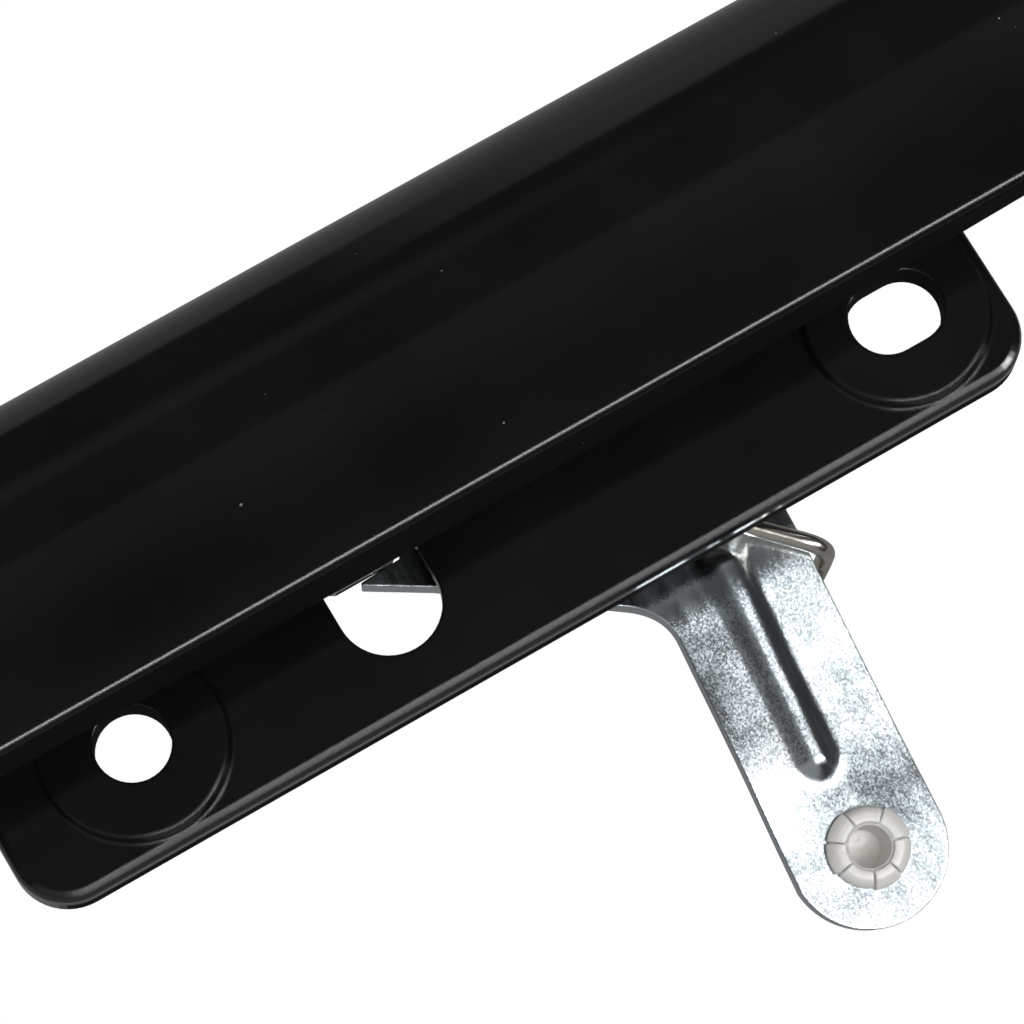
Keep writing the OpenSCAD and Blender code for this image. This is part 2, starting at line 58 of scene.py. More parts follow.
# ---------------------------------------------------------------- node trees
class Nodes:
    """Builds the node tree of one material."""

    def __init__(self, name):
        self.mat = bpy.data.materials.new(name)
        self.mat.use_nodes = True
        self.tree = self.mat.node_tree
        self.tree.nodes.clear()
        self.bsdf = self.add("BsdfPrincipled")
        self.out = self.add("OutputMaterial", Surface=self.bsdf.outputs[0])
        self.coord = self.add("TexCoord").outputs["Object"]

    def feed(self, socket, value):
        """Links a socket to another node's output, or sets it to a plain value."""
        if isinstance(value, bpy.types.NodeSocket):
            self.tree.links.new(value, socket)
        else:
            socket.default_value = value

    def add(self, kind, **inputs):
        """A new node with the named inputs fed; an underscore stands for a space."""
        node = self.tree.nodes.new("ShaderNode" + kind)
        for name, value in inputs.items():
            self.feed(node.inputs[name.replace("_", " ")], value)
        return node

    def surface(self, **inputs):
        """Feeds inputs of the material's own shader."""
        for name, value in inputs.items():
            self.feed(self.bsdf.inputs[name.replace("_", " ")], value)

    def noise(self, scale, detail, rough=0.55, stretch=None):
        source = self.coord
        if stretch:
            source = self.add("Mapping", Vector=source, Scale=stretch).outputs[0]
        return self.add("TexNoise", Scale=scale, Detail=detail, Roughness=rough, Vector=source).outputs[0]

    def voronoi(self, scale):
        return self.add("TexVoronoi", Scale=scale, Vector=self.coord)

    def split(self, vector):
        """The x, y and z of a vector."""
        return self.add("SeparateXYZ", Vector=vector).outputs

    def ramp(self, source, stops):
        """A colour ramp over (place, colour) stops."""
        node = self.add("ValToRGB", Fac=source)
        elements = node.color_ramp.elements
        while len(elements) < len(stops):
            elements.new(0.5)
        for element, (place, colour) in zip(elements, stops):
            element.position = place
            element.color = (*colour, 1)
        return node.outputs[0]

    def grey(self, source, stops):
        return self.ramp(source, [(place, (v, v, v)) for place, v in stops])

    def math(self, operation, *values):
        node = self.add("Math")
        node.operation = operation
        for socket, value in zip(node.inputs, values):
            self.feed(socket, value)
        return node.outputs[0]

    def times(self, *values):
        """The product of sockets and plain numbers."""
        product = values[0]
        for value in values[1:]:
            product = self.math("MULTIPLY", product, value)
        return product

    def vector_math(self, operation, *vectors, scale=None):
        node = self.add("VectorMath")
        node.operation = operation
        for socket, value in zip(node.inputs, vectors):
            self.feed(socket, value)
        if scale is not None:
            node.inputs["Scale"].default_value = scale
        return node.outputs[0]

    def blend(self, factor, first, second):
        """The first colour where factor is 0 and the second where it is 1."""
        node = self.add("Mix")
        node.data_type = "RGBA"
        for name, value in (("Factor", factor), ("A", first), ("B", second)):
            socket = [s for s in node.inputs if s.name == name and s.enabled][0]
            self.feed(socket, value)
        return [s for s in node.outputs if s.enabled][0]

    def fade(self, source, dark, full):
        """0 at dark and 1 at full, smooth between and level beyond."""
        node = self.add("MapRange", Value=source, From_Min=min(dark, full), From_Max=max(dark, full),
                        To_Min=float(dark > full), To_Max=float(dark < full))
        node.interpolation_type = "SMOOTHSTEP"
        return node.outputs["Result"]

    def band(self, source, dark_low, full_low, full_high, dark_high):
        """1 between the two full values, fading to 0 at the dark ones."""
        return self.times(self.fade(source, dark_high, full_high), self.fade(source, dark_low, full_low))

    def bevel(self, radius):
        node = self.add("Bevel", Radius=radius)
        node.samples = 6
        return node.outputs[0]

    def bump(self, height, strength, distance, normal=None):
        node = self.add("Bump", Height=height, Strength=strength, Distance=distance)
        if normal is not None:
            self.feed(node.inputs["Normal"], normal)
        return node.outputs[0]

    def cloudy(self, cloud, grain, dark, light, smooth, rough):
        """Colour that follows one noise, and roughness that follows another."""
        self.surface(Base_Color=self.ramp(cloud, [(0.3, dark), (0.7, light)]),
                     Roughness=self.grey(grain, [(0.3, smooth), (0.7, rough)]))


# ---------------------------------------------------------------- materials
def dull_paint(m):
    """1 where the paint is thin and dull: under the paddle's lower edge and the rear half
    of the plate's rim, and on the walls of the mounting holes."""
    x, y, z = m.split(m.coord)
    _, turned_y, turned_z = m.split(m.add("TexCoord").outputs["Normal"])
    at_paddle = m.fade(y, -0.0095, -0.0115)
    at_rim = m.fade(y, -0.0024, -0.0016)
    under = m.times(m.fade(turned_z, -0.75, -0.92), m.math("MAXIMUM", at_paddle, at_rim))
    beside = m.math("SUBTRACT", m.math("ABSOLUTE", x), HOLE_X * MM)
    from_axis = m.math("SQRT", m.math("ADD", m.times(beside, beside), m.times(z, z)))
    bore = m.times(m.fade(from_axis, 0.0053, 0.0050), m.fade(m.math("ABSOLUTE", turned_y), 0.7, 0.4))
    return m.math("MAXIMUM", under, bore)


def black_paint():
    m = Nodes("gloss_black_paint")
    patches = m.noise(38, detail=5, rough=0.6)
    fine = m.noise(900, detail=3, rough=0.6)
    speck_size = m.grey(m.noise(150, detail=2), [(0.58, 0.0), (0.75, 1.0)])
    dust = m.math("LESS_THAN", m.voronoi(420).outputs["Distance"], m.times(speck_size, 0.085))
    black = m.ramp(patches, [(0.3, (0.0022, 0.0022, 0.0024)), (0.7, (0.0042, 0.0040, 0.0042))])
    dull = dull_paint(m)
    rough = m.math("ADD", m.grey(patches, [(0.25, 0.11), (0.75, 0.19)]), m.times(dust, 0.35))
    orange_peel = m.math("ADD", m.times(patches, 0.6), m.times(fine, 0.12))
    m.surface(Metallic=0.0, IOR=1.52, Coat_Roughness=0.06,
              Base_Color=m.blend(m.times(dust, 0.55), black, (0.22, 0.22, 0.23, 1)),
              Roughness=m.math("MAXIMUM", rough, m.times(dull, 0.75)),
              Specular_IOR_Level=m.math("SUBTRACT", 0.5, m.times(dull, 0.44)),
              Coat_Weight=m.math("SUBTRACT", 0.35, m.times(dull, 0.35)),
              Normal=m.bump(orange_peel, 0.10, 0.0004, m.bevel(0.0005)))
    return m.mat


def zinc_plate():
    m = Nodes("bright_zinc_plate")
    cloud = m.noise(90, detail=6, rough=0.6)
    streak = m.noise(220, detail=4, rough=0.6, stretch=(3.0, 1.0, 0.4))
    # each crystal of the plating is tilted its own way
    crystal = m.vector_math("SUBTRACT", m.voronoi(6200).outputs["Color"], (0.5, 0.5, 0.5))
    tilt = m.vector_math("SCALE", crystal, scale=0.065)
    facet = m.vector_math("NORMALIZE", m.vector_math("ADD", m.bevel(0.0002), tilt))
    blue_grey = [(0.3, (0.52, 0.60, 0.64)), (0.55, (0.66, 0.72, 0.76)), (0.75, (0.74, 0.76, 0.78))]
    m.surface(Metallic=1.0, Base_Color=m.ramp(cloud, blue_grey),
              Roughness=m.grey(streak, [(0.3, 0.14), (0.7, 0.26)]),
              Normal=m.bump(streak, 0.15, 0.0002, facet))
    return m.mat


def screw_steel():
    m = Nodes("plated_screw_steel")
    cloud = m.noise(700, detail=4)
    m.cloudy(cloud, cloud, (0.40, 0.41, 0.42), (0.55, 0.55, 0.54), smooth=0.26, rough=0.40)
    m.surface(Metallic=1.0, Normal=m.bump(cloud, 0.1, 0.0001, m.bevel(0.0002)))
    return m.mat


def spring_steel():
    m = Nodes("nickel_spring_wire")
    draw_marks = m.noise(1500, detail=3, rough=0.5)
    cloud = m.noise(160, detail=4)
    m.cloudy(cloud, draw_marks, (0.60, 0.56, 0.50), (0.72, 0.69, 0.63), smooth=0.14, rough=0.26)
    m.surface(Metallic=1.0, Normal=m.bump(draw_marks, 0.12, 0.00005))
    return m.mat


def nylon():
    m = Nodes("natural_nylon")
    cloud = m.noise(260, detail=4)
    m.cloudy(cloud, cloud, (0.66, 0.635, 0.605), (0.73, 0.71, 0.685), smooth=0.25, rough=0.42)
    m.surface(Metallic=0.0, IOR=1.53, Transmission_Weight=0.25, Subsurface_Weight=0.35,
              Subsurface_Radius=(0.0012, 0.0010, 0.0009), Subsurface_Scale=1.0,
              Normal=m.bump(cloud, 0.15, 0.0002, m.bevel(0.0002)))
    return m.mat


def rubber():
    m = Nodes("black_rubber")
    cloud = m.noise(500, detail=5)
    m.cloudy(cloud, cloud, (0.018, 0.018, 0.018), (0.034, 0.033, 0.032), smooth=0.62, rough=0.8)
    m.surface(Metallic=0.0, IOR=1.5, Normal=m.bump(cloud, 0.25, 0.0001, m.bevel(0.0003)))
    return m.mat


MATERIALS = {"black_paint": black_paint(), "zinc_plate": zinc_plate(), "screw_steel": screw_steel(),
             "spring_steel": spring_steel(), "nylon": nylon(), "rubber": rubber()}
for subpart in RECORD["subparts"]:
    slots = frame["nodes"][subpart["node"]].data.materials
    slots.clear()
    slots.append(MATERIALS[subpart["material_slot"]])


# ------------------------------------------------------------ outlines and paths
def spread(start, end, count):
    """Values from start to end in count equal steps."""
    return [start + (end - start) * i / count for i in range(count + 1)]


def clamp(value, low=0.0, high=1.0):
    return max(low, min(high, value))


def arc(x, z, radius, start, end, step=5.0):
    count = max(2, math.ceil(abs(end - start) / step))
    return [(x + radius * math.cos(math.radians(a)), z + radius * math.sin(math.radians(a)))
            for a in spread(start, end, count)]


def corner(before, at, after, radius, step=7.0):
    """The arc that rounds one corner of an outline."""
    back = (Vector(before) - Vector(at)).normalized()
    on = (Vector(after) - Vector(at)).normalized()
    half = back.angle(on) / 2
    middle = Vector(at) + (back + on).normalized() * (radius / math.sin(half))
    reach = radius / math.tan(half)
    first = Vector(at) + back * reach - middle
    last = Vector(at) + on * reach - middle
    start = math.degrees(math.atan2(first.y, first.x))
    turn = (math.degrees(math.atan2(last.y, last.x)) - start + 180) % 360 - 180
    return arc(middle.x, middle.y, radius, start, start + turn, step)


def resample(loop, gap):
    """Adds points so that no side of a closed outline is longer than gap."""
    out = []
    for i, p in enumerate(loop):
        q = loop[(i + 1) % len(loop)]
        length = math.dist(p, q)
        if length < 1e-6:
            continue
        parts = max(1, math.ceil(length / gap))
        out += [(p[0] + (q[0] - p[0]) * j / parts, p[1] + (q[1] - p[1]) * j / parts) for j in range(parts)]
    return out


def area(loop):
    """The area of a closed outline, negative where it runs clockwise."""
    sides = zip(loop, loop[1:] + loop[:1])
    return 0.5 * sum(p[0] * q[1] - q[0] * p[1] for p, q in sides)


def shrink(loop, distance):
    """Moves each point of a counter-clockwise outline inwards."""
    out = []
    for i, at in enumerate(loop):
        p = Vector(at)
        u = (p - Vector(loop[i - 1])).normalized()
        v = (Vector(loop[(i + 1) % len(loop)]) - p).normalized()
        side = Vector((-u.y, u.x))
        middle = (side + Vector((-v.y, v.x))).normalized()
        moved = p + middle * (distance / max(0.5, middle.dot(side)))
        out.append((moved.x, moved.y))
    return out


def inside(loop, x, z):
    hit = False
    for (x0, z0), (x1, z1) in zip(loop, loop[1:] + loop[:1]):
        if (z0 > z) != (z1 > z) and x < (x1 - x0) * (z - z0) / (z1 - z0) + x0:
            hit = not hit
    return hit


def soften(points, radius, step=12.0):
    """Rounds the corners of an open path in space."""
    least_turn = math.radians(6)
    out = [Vector(points[0])]
    for i in range(1, len(points) - 1):
        p = Vector(points[i])
        back, on = Vector(points[i - 1]) - p, Vector(points[i + 1]) - p
        turn = math.pi - back.angle(on)
        if turn < least_turn:
            out.append(p)
            continue
        reach = min(radius * math.tan(turn / 2), 0.48 * back.length, 0.48 * on.length)
        start, end = p + back.normalized() * reach, p + on.normalized() * reach
        count = max(2, int(math.degrees(turn) / step))
        out += [(1 - t) ** 2 * start + 2 * t * (1 - t) * p + t ** 2 * end for t in spread(0, 1, count)]
    out.append(Vector(points[-1]))
    return out


# ------------------------------------------------------------ meshes and wires
def put_in_scene(name, data, material, body):
    piece = bpy.data.objects.new(name, data)
    bpy.context.scene.collection.objects.link(piece)
    piece.data.materials.append(material)
    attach(piece, body)
    return piece


def mesh_piece(name, verts, faces, material, body):
    mesh = bpy.data.meshes.new(name)
    mesh.from_pydata([Vector(v) * MM for v in verts], [], faces)
    mesh.validate()
    mesh.update()
    for polygon in mesh.polygons:
        polygon.use_smooth = True
    return put_in_scene(name, mesh, material, body)


def wire_piece(name, points, radius, body):
    """A round spring wire through points, closed at its ends."""
    curve = bpy.data.curves.new(name, "CURVE")
    curve.dimensions = "3D"
    curve.bevel_depth = radius * MM
    curve.bevel_resolution = 6
    curve.use_fill_caps = True
    spline = curve.splines.new("POLY")
    spline.points.add(len(points) - 1)
    for target, p in zip(spline.points, points):
        target.co = (p[0] * MM, p[1] * MM, p[2] * MM, 1)
    spline.use_smooth = True
    return put_in_scene(name, curve, MATERIALS["spring_steel"], body)


def orient(verts, faces):
    """Turns the faces of a closed shell outwards."""
    bm = bmesh.new()
    made = [bm.verts.new(v) for v in verts]
    for face in faces:
        bm.faces.new([made[i] for i in face])
    bmesh.ops.recalc_face_normals(bm, faces=bm.faces)
    bm.verts.index_update()
    turned = [[v.index for v in face.verts] for face in bm.faces]
    places = [tuple(v.co) for v in bm.verts]
    bm.free()
    return places, turned


def fill(outer, holes, guards, gap):
    """Triangles between an outline and its holes, with a grid of inner points. The guards
    are further outlines whose points and sides are kept. The last value returned says where
    each given point went."""
    points, edges, near = [], [], {}
    for loop in [outer] + holes + guards:
        base = len(points)
        points += loop
        edges += [(base + i, base + (i + 1) % len(loop)) for i in range(len(loop))]
    for p in points:
        near.setdefault((int(p[0] // gap), int(p[1] // gap)), []).append(p)

    def is_free(x, z):
        around = [q for i in (-1, 0, 1) for j in (-1, 0, 1)
                  for q in near.get((int(x // gap) + i, int(z // gap) + j), [])]
        clear = all(math.dist((x, z), q) > 0.6 * gap for q in around)
        return clear and inside(outer, x, z) and not any(inside(h, x, z) for h in holes)

    # each row of the grid stands 0.87 of a gap higher and half a gap to the side
    right = max(p[0] for p in outer)
    top = max(p[1] for p in outer)
    row = 0
    z = min(p[1] for p in outer) + gap / 2
    while z < top:
        x = min(p[0] for p in outer) + gap / 2 * (row % 2)
        while x < right:
            if is_free(x, z):
                points.append((x, z))
            x += gap
        z += gap * 0.87
        row += 1
    spots, _, cells, origins, _, _ = delaunay_2d_cdt([Vector(p) for p in points], edges, [], 1, 1e-6)
    triangles = []
    for cell in cells:
        x = sum(spots[i].x for i in cell) / len(cell)
        z = sum(spots[i].y for i in cell) / len(cell)
        if not any(inside(h, x, z) for h in holes):
            triangles.append(list(cell))
    where = {old: new for new, olds in enumerate(origins) for old in olds}
    return [(p.x, p.y) for p in spots], triangles, where


def sheet_solid(outer, holes, gap, place, thickness, edge, steps=3):
    """A closed sheet with rounded edges. place(x, z, depth) puts a point of the flat
    pattern, at a depth behind the front face, into space."""
    if area(outer) < 0:
        outer = outer[::-1]
    loops = [outer] + [h if area(h) < 0 else h[::-1] for h in holes]
    inset = [shrink(loop, edge) for loop in loops]
    guards = [shrink(loop, 2.2 * edge) for loop in loops]
    flat, triangles, where = fill(inset[0], [loop[::-1] for loop in inset[1:]], guards, gap)

    verts, faces = [], []
    for depth in (0.0, thickness):
        base = len(verts)
        verts += [place(x, z, depth) for x, z in flat]
        faces += [[base + i for i in triangle] for triangle in triangles]

    front_edge = []
    for a in spread(0, math.pi / 2, steps)[1:]:
        front_edge.append((edge * (1 - math.sin(a)), edge * (1 - math.cos(a))))
    levels = front_edge + [(inwards, thickness - depth) for inwards, depth in reversed(front_edge)]

    start = 0
    for number, loop in enumerate(loops):
        count = len(loop)
        rim = [where[start + i] for i in range(count)]
        if number:
            rim.reverse()
        start += count
        rows = [rim]
        for inwards, depth in levels:
            rows.append(range(len(verts), len(verts) + count))
            verts += [place(x, z, depth) for x, z in shrink(loop, inwards)]
        rows.append([len(flat) + i for i in rim])
        for upper, lower in zip(rows, rows[1:]):
            for i in range(count):
                after = (i + 1) % count
                faces.append([upper[i], upper[after], lower[after], lower[i]])
    return orient(verts, faces)


# ------------------------------------------------------------ bell crank
CRANK_Y = 4.2                          # front face of the crank's flat part
SHEET = 2.3
HUB_R = 8.5
HUB_HOLE_R = 4.05
EYE_Z = -41.7                          # height of the lever's eye in the flat pattern
EYE_R = 7.9
EYE_HOLE_R = 3.4
LEVER_SHOULDER = (24.45, -11.0)        # where the lever's right edge leaves the hub
CROOK_X, CROOK_Z, CROOK_R = 2.7, -15.4, 6.3    # the inner curve from lever to arm
ARM_FOOT = (-8.8, 0.85)
ARM_TIP = (-15.2, 4.78)
ARM_TIP_R = 0.22
ARM_LEDGE = (-10.3, 5.02)              # the paddle's finger presses between here and the tip
ARM_STEP = [(-10.0, 5.3), (-9.55, 7.9), (-9.2, 8.25)]
ARM_ROOT = (7.6, 10.94)
CRANK_GRID = 0.55
CRANK_EDGE = 0.11

BEND_Z = -11.2                         # the lever bends backwards below this height
BEND_RUN = 3.6                         # length of the bend along the sheet
BEND = math.radians(10)

BEAD_TOP = Vector((16.4, -11.4))
BEAD_FOOT = Vector((14.85, -31.9))
BEAD_HEIGHT = 1.12
BEAD_WIDTH = 1.62                      # half of its width, as a fall to 1/e
BEAD_FLARE = 0.35                      # how much wider it starts at its top
BEAD_STEEPNESS = 2.7
BEAD_BACK = 0.8                        # the hollow behind it, against its height in front

WAVE_Z, WAVE_FADE = -12.0, 6.0         # the faint waves start here, in full this far below
SWELL_Z = -14.0
SWELL_X, SWELL_SPREAD = 13.2, 5.0
SWELL_LEFT = (15.0, 0.54)              # length and height on the left half
SWELL_RIGHT = (19.0, 0.34)             # and on the right half
SWELL_END = 10.0                       # length over which it dies away


def crank_outline():
    """The crank's flat pattern, clockwise from the top of the hub."""
    hub = [(PIVOT_X, PIVOT_Z + HUB_R)] + arc(PIVOT_X, PIVOT_Z, HUB_R, 85, 3)
    eye = arc(EYE_X, EYE_Z, EYE_R, -3.2, -175.3, step=4)
    crook = arc(CROOK_X, CROOK_Z, CROOK_R, -4.7, 53.8)
    arm = [ARM_FOOT] + corner(ARM_FOOT, ARM_TIP, ARM_LEDGE, ARM_TIP_R) + [ARM_LEDGE] + ARM_STEP + [ARM_ROOT]
    return resample(hub + [LEVER_SHOULDER] + eye + crook + arm, CRANK_GRID)


def crank_bend(z):
    """The front face at a height of the flat pattern: y, z and the angle it leans at."""
    below = BEND_Z - z
    if below <= 0:
        return CRANK_Y, z, 0.0
    curl = BEND / BEND_RUN
    angle = min(below, BEND_RUN) * curl
    straight = max(0.0, below - BEND_RUN)
    y = CRANK_Y + (1 - math.cos(angle)) / curl + straight * math.sin(BEND)
    height = BEND_Z - math.sin(angle) / curl - straight * math.cos(BEND)
    return y, height, angle


def bead_height(x, z):
    """The pressed bead that runs down the lever."""
    point = Vector((x, z))
    line = BEAD_FOOT - BEAD_TOP
    along = clamp((point - BEAD_TOP).dot(line) / line.length_squared)
    away = (point - (BEAD_TOP + line * along)).length
    width = BEAD_WIDTH + BEAD_FLARE * max(0.0, 1 - along * 4)
    return BEAD_HEIGHT * math.exp(-(away / width) ** BEAD_STEEPNESS)


def crank_wave(x, z):
    """Unevenness of the pressed lever: faint waves, and a swell that comes forward on its
    left half and goes back on its right half."""
    wide = 0.05 * noise.noise(Vector((x * 0.16, z * 0.13, 3.1)))
    close = 0.02 * noise.noise(Vector((x * 0.5, z * 0.4, 8.7)))
    side = clamp((SWELL_X - x) / SWELL_SPREAD, -1.0, 1.0)
    length, height = SWELL_LEFT if side > 0 else SWELL_RIGHT
    down = SWELL_Z - z
    rise = clamp(down / length) - clamp((down - length) / SWELL_END)
    swell = height * side * (0.5 - 0.5 * math.cos(math.pi * rise))
    return (wide + close) * clamp((WAVE_Z - z) / WAVE_FADE) + swell


def crank_place(x, z, depth):
    y, height, angle = crank_bend(z)
    bead = bead_height(x, z) * (1.0 if depth < 0.5 * SHEET else BEAD_BACK)
    out = bead + crank_wave(x, z) - depth
    return (x, y - out * math.cos(angle), height - out * math.sin(angle))


def make_crank():
    holes = [arc(PIVOT_X, PIVOT_Z, HUB_HOLE_R, 0, 350, 10), arc(EYE_X, EYE_Z, EYE_HOLE_R, 0, 350, 10)]
    verts, faces = sheet_solid(crank_outline(), holes, CRANK_GRID, crank_place, SHEET, CRANK_EDGE)
    crank = mesh_piece("crank_sheet", verts, faces, MATERIALS["zinc_plate"], "crank")
    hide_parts("bell_crank")


# ------------------------------------------------------------ springs
LEG_SHRINK = 0.998     # a leg overlaps its coil, a little thinner so that the faces don't coincide

COIL_R = 5.8
COIL_WIRE = 0.9        # radius of the wire
COIL_PITCH = 1.82
COIL_GAP = 0.2         # between the coil and the plate
COIL_Y = PLATE_INSIDE_Y + COIL_GAP + COIL_WIRE
COIL_FIRST = 180.0     # direction from the pivot at which the coil starts
COIL_LAST = 720.0 + 224.0
COIL_OVERLAP = 16.0
COIL_POINTS = 190
PEG_LEG = 14.5         # length of the leg that reaches the plate's peg
HOOK_RUN = 18.9        # from the coil to the hook's first bend
HOOK_GAP = 1.1         # between the hook and the back of the lever
HOOK_END = 5.6
HOOK_END_WAY = Vector((-0.85, 0, -0.5)).normalized()
HOOK_R = 2.7

PAD_X = -10.6
PAD_R = 3.5
PAD_WIRE = 0.65
PAD_PITCH = 1.42
PAD_LEAD = 150.0       # direction of the leg that rests in the paddle
PAD_TAIL = 85.0        # direction of the leg that rests on the plate
PAD_TURN = 360.0 * 4 + PAD_LEAD - PAD_TAIL
PAD_SPLIT = 35.0       # the coil starts this far round, and the moving leg runs past that
PAD_OVERLAP = 3.0
PAD_POINTS = 260
FOOT_GAP = 0.05        # between the fixed leg and the plate
PADDLE_INSIDE_Y = -17.2
HEEL_GAP = 0.1         # between the moving leg and the paddle
PAD_HOOK = 7.0
PAD_HOOK_R = 1.2


def crank_coil(angle):
    turn = math.radians(angle)
    return Vector((PIVOT_X + COIL_R * math.cos(turn), COIL_Y + COIL_PITCH * (angle - COIL_FIRST) / 360,
                   PIVOT_Z + COIL_R * math.sin(turn)))


def make_crank_spring():
    """A coil on the stud with a straight leg up to the plate's peg, and a leg that hooks
    round the lever's right edge."""
    turns = [crank_coil(a) for a in spread(COIL_FIRST, COIL_LAST, COIL_POINTS)]
    coil = wire_piece("crank_spring_coil", [turns[0] + Vector((0, 0, PEG_LEG))] + turns, COIL_WIRE, "plate")
    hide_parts("crank_spring")

    leaving = math.radians(COIL_LAST + 90)
    start = [crank_coil(a) for a in spread(COIL_LAST - COIL_OVERLAP, COIL_LAST, 6)]
    knee = start[-1] + Vector((math.cos(leaving), 0, math.sin(leaving))) * HOOK_RUN
    behind = Vector((knee.x, CRANK_Y + SHEET + HOOK_GAP + COIL_WIRE, knee.z))
    path = soften(start + [knee, behind, behind + HOOK_END_WAY * HOOK_END], HOOK_R, step=9.0)
    hook = wire_piece("crank_spring_hook", path, COIL_WIRE * LEG_SHRINK, "crank")


def paddle_coil(angle):
    turn = math.radians(PAD_LEAD - angle)
    return Vector((PAD_X + PAD_PITCH * angle / 360, HINGE_Y + PAD_R * math.cos(turn),
                   HINGE_Z + PAD_R * math.sin(turn)))


def make_paddle_spring():
    """A coil round the hinge pin with a leg on the plate, and a leg hooked in the paddle."""
    tail, lead = math.radians(PAD_TAIL), math.radians(PAD_LEAD)
    turns = [paddle_coil(a) for a in spread(PAD_SPLIT, PAD_TURN, PAD_POINTS)]
    to_plate = (PLATE_FRONT_Y - PAD_WIRE - FOOT_GAP - turns[-1].y) / math.sin(tail)
    foot = turns[-1] + Vector((0, math.sin(tail), -math.cos(tail))) * to_plate
    coil = wire_piece("paddle_spring_coil", turns + [foot], PAD_WIRE, "plate")
    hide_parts("handle_spring")

    first = paddle_coil(0)
    hook_y = PADDLE_INSIDE_Y - PAD_WIRE - HEEL_GAP
    hook = Vector((PAD_X, hook_y, first.z + (first.y - hook_y) / math.sin(lead) * math.cos(lead)))
    path = soften([hook - Vector((0, 0, PAD_HOOK)), hook, first], PAD_HOOK_R)
    path += [paddle_coil(a) for a in spread(0, PAD_SPLIT + PAD_OVERLAP, 8)[1:]]
    leg = wire_piece("paddle_spring_leg", path, PAD_WIRE * LEG_SHRINK, "handle")


# ------------------------------------------------------------ rod bushing
# Radii, and depths behind the lever's front face.
ROD_R = 2.05
SLEEVE_R = 3.28
SLEEVE_TIP = -1.3
FLANGE_R = 4.9
FLANGE_FRONT = SHEET + 0.06
SLEEVE_BACK = 4.6
ROD_END = 3.8
AXIS_R = 0.02          # keeps the middle of the closed end from shrinking to a point
ROUND_STEP = 6
COLLAR_IN_R, COLLAR_R = 2.35, 3.95
FINGER_IN_R = 2.3
FINGER_TIP = -1.6
FINGER_STEP = 4
FINGERS = [            # first and last angle, height over FINGER_TIP, outer radius
    (-68, -16, 0.0, 4.1), (-13, 38, -0.15, 4.2), (41, 97, 0.05, 4.0), (99, 143, -0.12, 4.15),
    (146, 190, 0.12, 4.2), (193, 246, -0.08, 4.0), (249, 289, 0.1, 4.2)]


def eye_place(x, z, depth):
    """A point beside the eye's axis, at a depth behind the sheet's front."""
    y, height, angle = crank_bend(EYE_Z + z)
    return (EYE_X + x, y + depth * math.cos(angle), height + depth * math.sin(angle))


def lathe(profile, start, end, step):
    """Turns a closed profile of (radius, depth) round the eye's axis."""
    full = end - start == 360
    spans = round((end - start) / step)
    count = spans if full else spans + 1
    verts, faces = [], []
    for angle in spread(start, end, spans)[:count]:
        a = math.radians(angle)
        verts += [eye_place(r * math.cos(a), r * math.sin(a), depth) for r, depth in profile]
    size = len(profile)
    for i in range(spans):
        p, q = i * size, (i + 1) % count * size
        faces += [[p + j, p + (j + 1) % size, q + (j + 1) % size, q + j] for j in range(size)]
    if not full:
        last = spans * size
        faces += [list(range(size)), [last + j for j in reversed(range(size))]]
    return orient(verts, faces)


def sleeve():
    """The sleeve, closed behind, with its rear flange."""
    profile = [(ROD_R, SLEEVE_TIP + 0.15), (ROD_R + 0.15, SLEEVE_TIP), (2.75, SLEEVE_TIP),
               (2.95, SLEEVE_TIP + 0.2), (SLEEVE_R, -0.3), (SLEEVE_R, FLANGE_FRONT),
               (FLANGE_R - 0.15, FLANGE_FRONT), (FLANGE_R, 2.5), (FLANGE_R, 3.6), (4.5, SLEEVE_BACK - 0.1),
               (4.2, SLEEVE_BACK), (AXIS_R, SLEEVE_BACK), (AXIS_R, ROD_END), (ROD_R - 0.15, ROD_END),
               (ROD_R, ROD_END - 0.2)]
    return lathe(profile, 0, 360, ROUND_STEP)


def collar():
    """The ring that the fingers stand on."""
    profile = [(COLLAR_IN_R, -0.95), (3.3, -0.95), (COLLAR_R, -0.6), (COLLAR_R, -0.1), (COLLAR_IN_R, -0.1)]
    return lathe(profile, 0, 360, ROUND_STEP)


def finger(start, end, lift, outer):
    """One barbed finger of the front rim."""
    tip = FINGER_TIP - lift
    profile = [(FINGER_IN_R, tip + 0.15), (2.45, tip), (3.1, tip), (3.35, tip + 0.08), (outer, -0.72),
               (outer, -0.2), (outer - 0.12, -0.06), (3.0, -0.06), (FINGER_IN_R, -0.06)]
    return lathe(profile, start, end, FINGER_STEP)


def make_bushing():
    verts, faces = [], []
    for part_verts, part_faces in [sleeve(), collar()] + [finger(*sizes) for sizes in FINGERS]:
        base = len(verts)
        verts += part_verts
        faces += [[base + i for i in face] for face in part_faces]
    bushing = mesh_piece("rod_socket", verts, faces, MATERIALS["nylon"], "crank")
    bevel = bushing.modifiers.new("edge", "BEVEL")
    bevel.width = 0.12 * MM
    bevel.segments = 2
    bevel.limit_method = "ANGLE"
    bevel.angle_limit = math.radians(38)
    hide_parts("rod_bushing")


make_crank()
make_crank_spring()
make_paddle_spring()
make_bushing()

# ------------------------------------------------------------ camera
CAMERA_AIM = Vector((0.728, -0.646, 2.457))
CAMERA_DISTANCE = 478.0
CAMERA_AZIMUTH = -8.899                # from straight ahead, towards +x
CAMERA_ELEVATION = -12.721             # the camera looks up from below
CAMERA_ROLL = -31.416
CAMERA_LENS = 175.78125                # for a sensor 36 mm wide


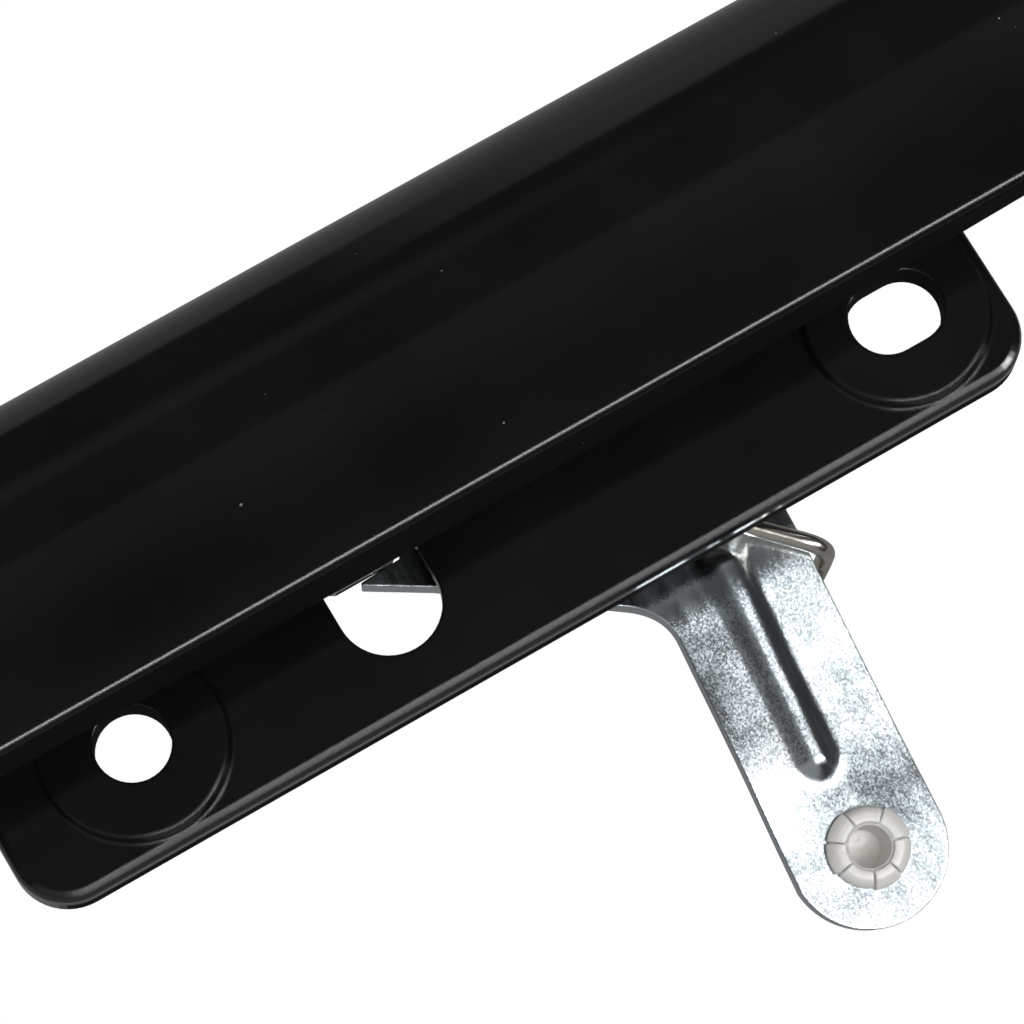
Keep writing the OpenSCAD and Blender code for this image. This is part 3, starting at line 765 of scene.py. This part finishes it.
def make_camera():
    data = bpy.data.cameras.new("camera")
    data.sensor_width = 36.0
    data.lens = CAMERA_LENS
    data.clip_start = 0.01
    data.clip_end = 20
    camera = bpy.data.objects.new("camera", data)
    bpy.context.scene.collection.objects.link(camera)
    azimuth = Matrix.Rotation(math.radians(CAMERA_AZIMUTH), 4, "Z")
    elevation = Matrix.Rotation(math.radians(90 - CAMERA_ELEVATION), 4, "X")
    roll = Matrix.Rotation(math.radians(CAMERA_ROLL), 4, "Z")
    back = Matrix.Translation((0, 0, CAMERA_DISTANCE * MM))
    camera.matrix_world = Matrix.Translation(CAMERA_AIM * MM) @ azimuth @ elevation @ roll @ back
    bpy.context.scene.camera = camera


# ------------------------------------------------------------ light and backdrop
FAINT = 0.036          # strength of the light that comes from every direction
PANEL = 1.32
STRIP = 19.2
LEFT = 0.24
ABOVE = 0.24
LEDGE = 0.08
LEVEL = 0.056
FILL_WATTS = 11.5
FILL_AT = Vector((-0.1, -1.2, -0.1))
BACKDROP_Y = 0.030
BACKDROP_HALF = 3.0


class Studio(Nodes):
    """Builds the node tree of the world."""

    def __init__(self, world):
        world.use_nodes = True
        self.tree = world.node_tree
        self.tree.nodes.clear()
        self.sky = self.add("Background", Color=(1, 1, 1, 1))
        self.add("OutputWorld", Surface=self.sky.outputs[0])
        self.coord = self.add("TexCoord").outputs["Generated"]


def make_world():
    """A soft studio whose light depends on the direction, white to the camera itself.
    Directions go by their x, to the right, and z, upwards."""
    world = bpy.data.worlds.new("studio")
    s = Studio(world)
    x, _, z = s.split(s.coord)
    middle = s.band(x, -0.30, 0.0, 0.45, 0.75)
    patches = [
        # a broad panel below and a bright strip in it, which the lever and its bead reflect
        (PANEL, [middle, s.band(z, -0.80, -0.50, -0.24, -0.10)]),
        (STRIP, [middle, s.band(z, -0.50, -0.44, -0.39, -0.34)]),
        # weak light from the lower left
        (LEFT, [s.fade(x, 0.25, -0.35), s.fade(z, 0.0, -0.2)]),
        # weak light from above and from half way up, which the paddle's rolls reflect
        (ABOVE, [s.fade(z, 0.80, 0.84), s.fade(x, 0.13, 0.21)]),
        (LEDGE, [s.band(z, 0.30, 0.44, 0.50, 0.70), s.fade(x, 0.27, 0.12)]),
        # a band just above level, for the flat black faces
        (LEVEL, [s.band(z, 0.0, 0.09, 0.15, 0.24)])]
    light = FAINT
    for strength, windows in patches:
        light = s.math("ADD", light, s.times(*windows, strength))
    to_camera = s.add("LightPath").outputs["Is Camera Ray"]
    s.feed(s.sky.inputs["Strength"], s.math("MAXIMUM", light, to_camera))
    bpy.context.scene.world = world
    bpy.context.scene.view_settings.view_transform = "Standard"


def make_fill_light():
    """A large soft light from the front that doesn't show in the gloss."""
    data = bpy.data.lights.new("fill", "AREA")
    data.shape = "RECTANGLE"
    data.size = 1.6
    data.size_y = 1.2
    data.energy = FILL_WATTS
    light = bpy.data.objects.new("fill", data)
    bpy.context.scene.collection.objects.link(light)
    aim = (-FILL_AT).to_track_quat("-Z", "Y").to_matrix().to_4x4()
    light.matrix_world = Matrix.Translation(FILL_AT) @ aim
    light.visible_glossy = False


def backdrop_paper():
    """White to the camera, grey in reflections, and clear from behind."""
    m = Nodes("pale_floor")
    m.tree.nodes.remove(m.bsdf)
    paper = m.grey(m.noise(30, detail=3), [(0.3, 0.19), (0.7, 0.24)])
    to_camera = m.add("LightPath").outputs["Is Camera Ray"]
    front = m.add("Emission", Strength=m.math("MAXIMUM", paper, to_camera)).outputs[0]
    both = m.add("MixShader", Fac=m.add("NewGeometry").outputs["Backfacing"])
    m.feed(both.inputs[1], front)
    m.feed(both.inputs[2], m.add("BsdfTransparent").outputs[0])
    m.feed(m.out.inputs["Surface"], both.outputs[0])
    return m.mat


def make_backdrop():
    """A square sheet behind the part, parallel to the plate."""
    mesh = bpy.data.meshes.new("floor")
    half = BACKDROP_HALF
    corners = [(-half, -half), (half, -half), (half, half), (-half, half)]
    mesh.from_pydata([(x, BACKDROP_Y, z) for x, z in corners], [], [(0, 1, 2, 3)])
    floor = bpy.data.objects.new("floor", mesh)
    floor.data.materials.append(backdrop_paper())
    bpy.context.scene.collection.objects.link(floor)


make_camera()
make_world()
make_fill_light()
make_backdrop()

bpy.context.view_layer.update()
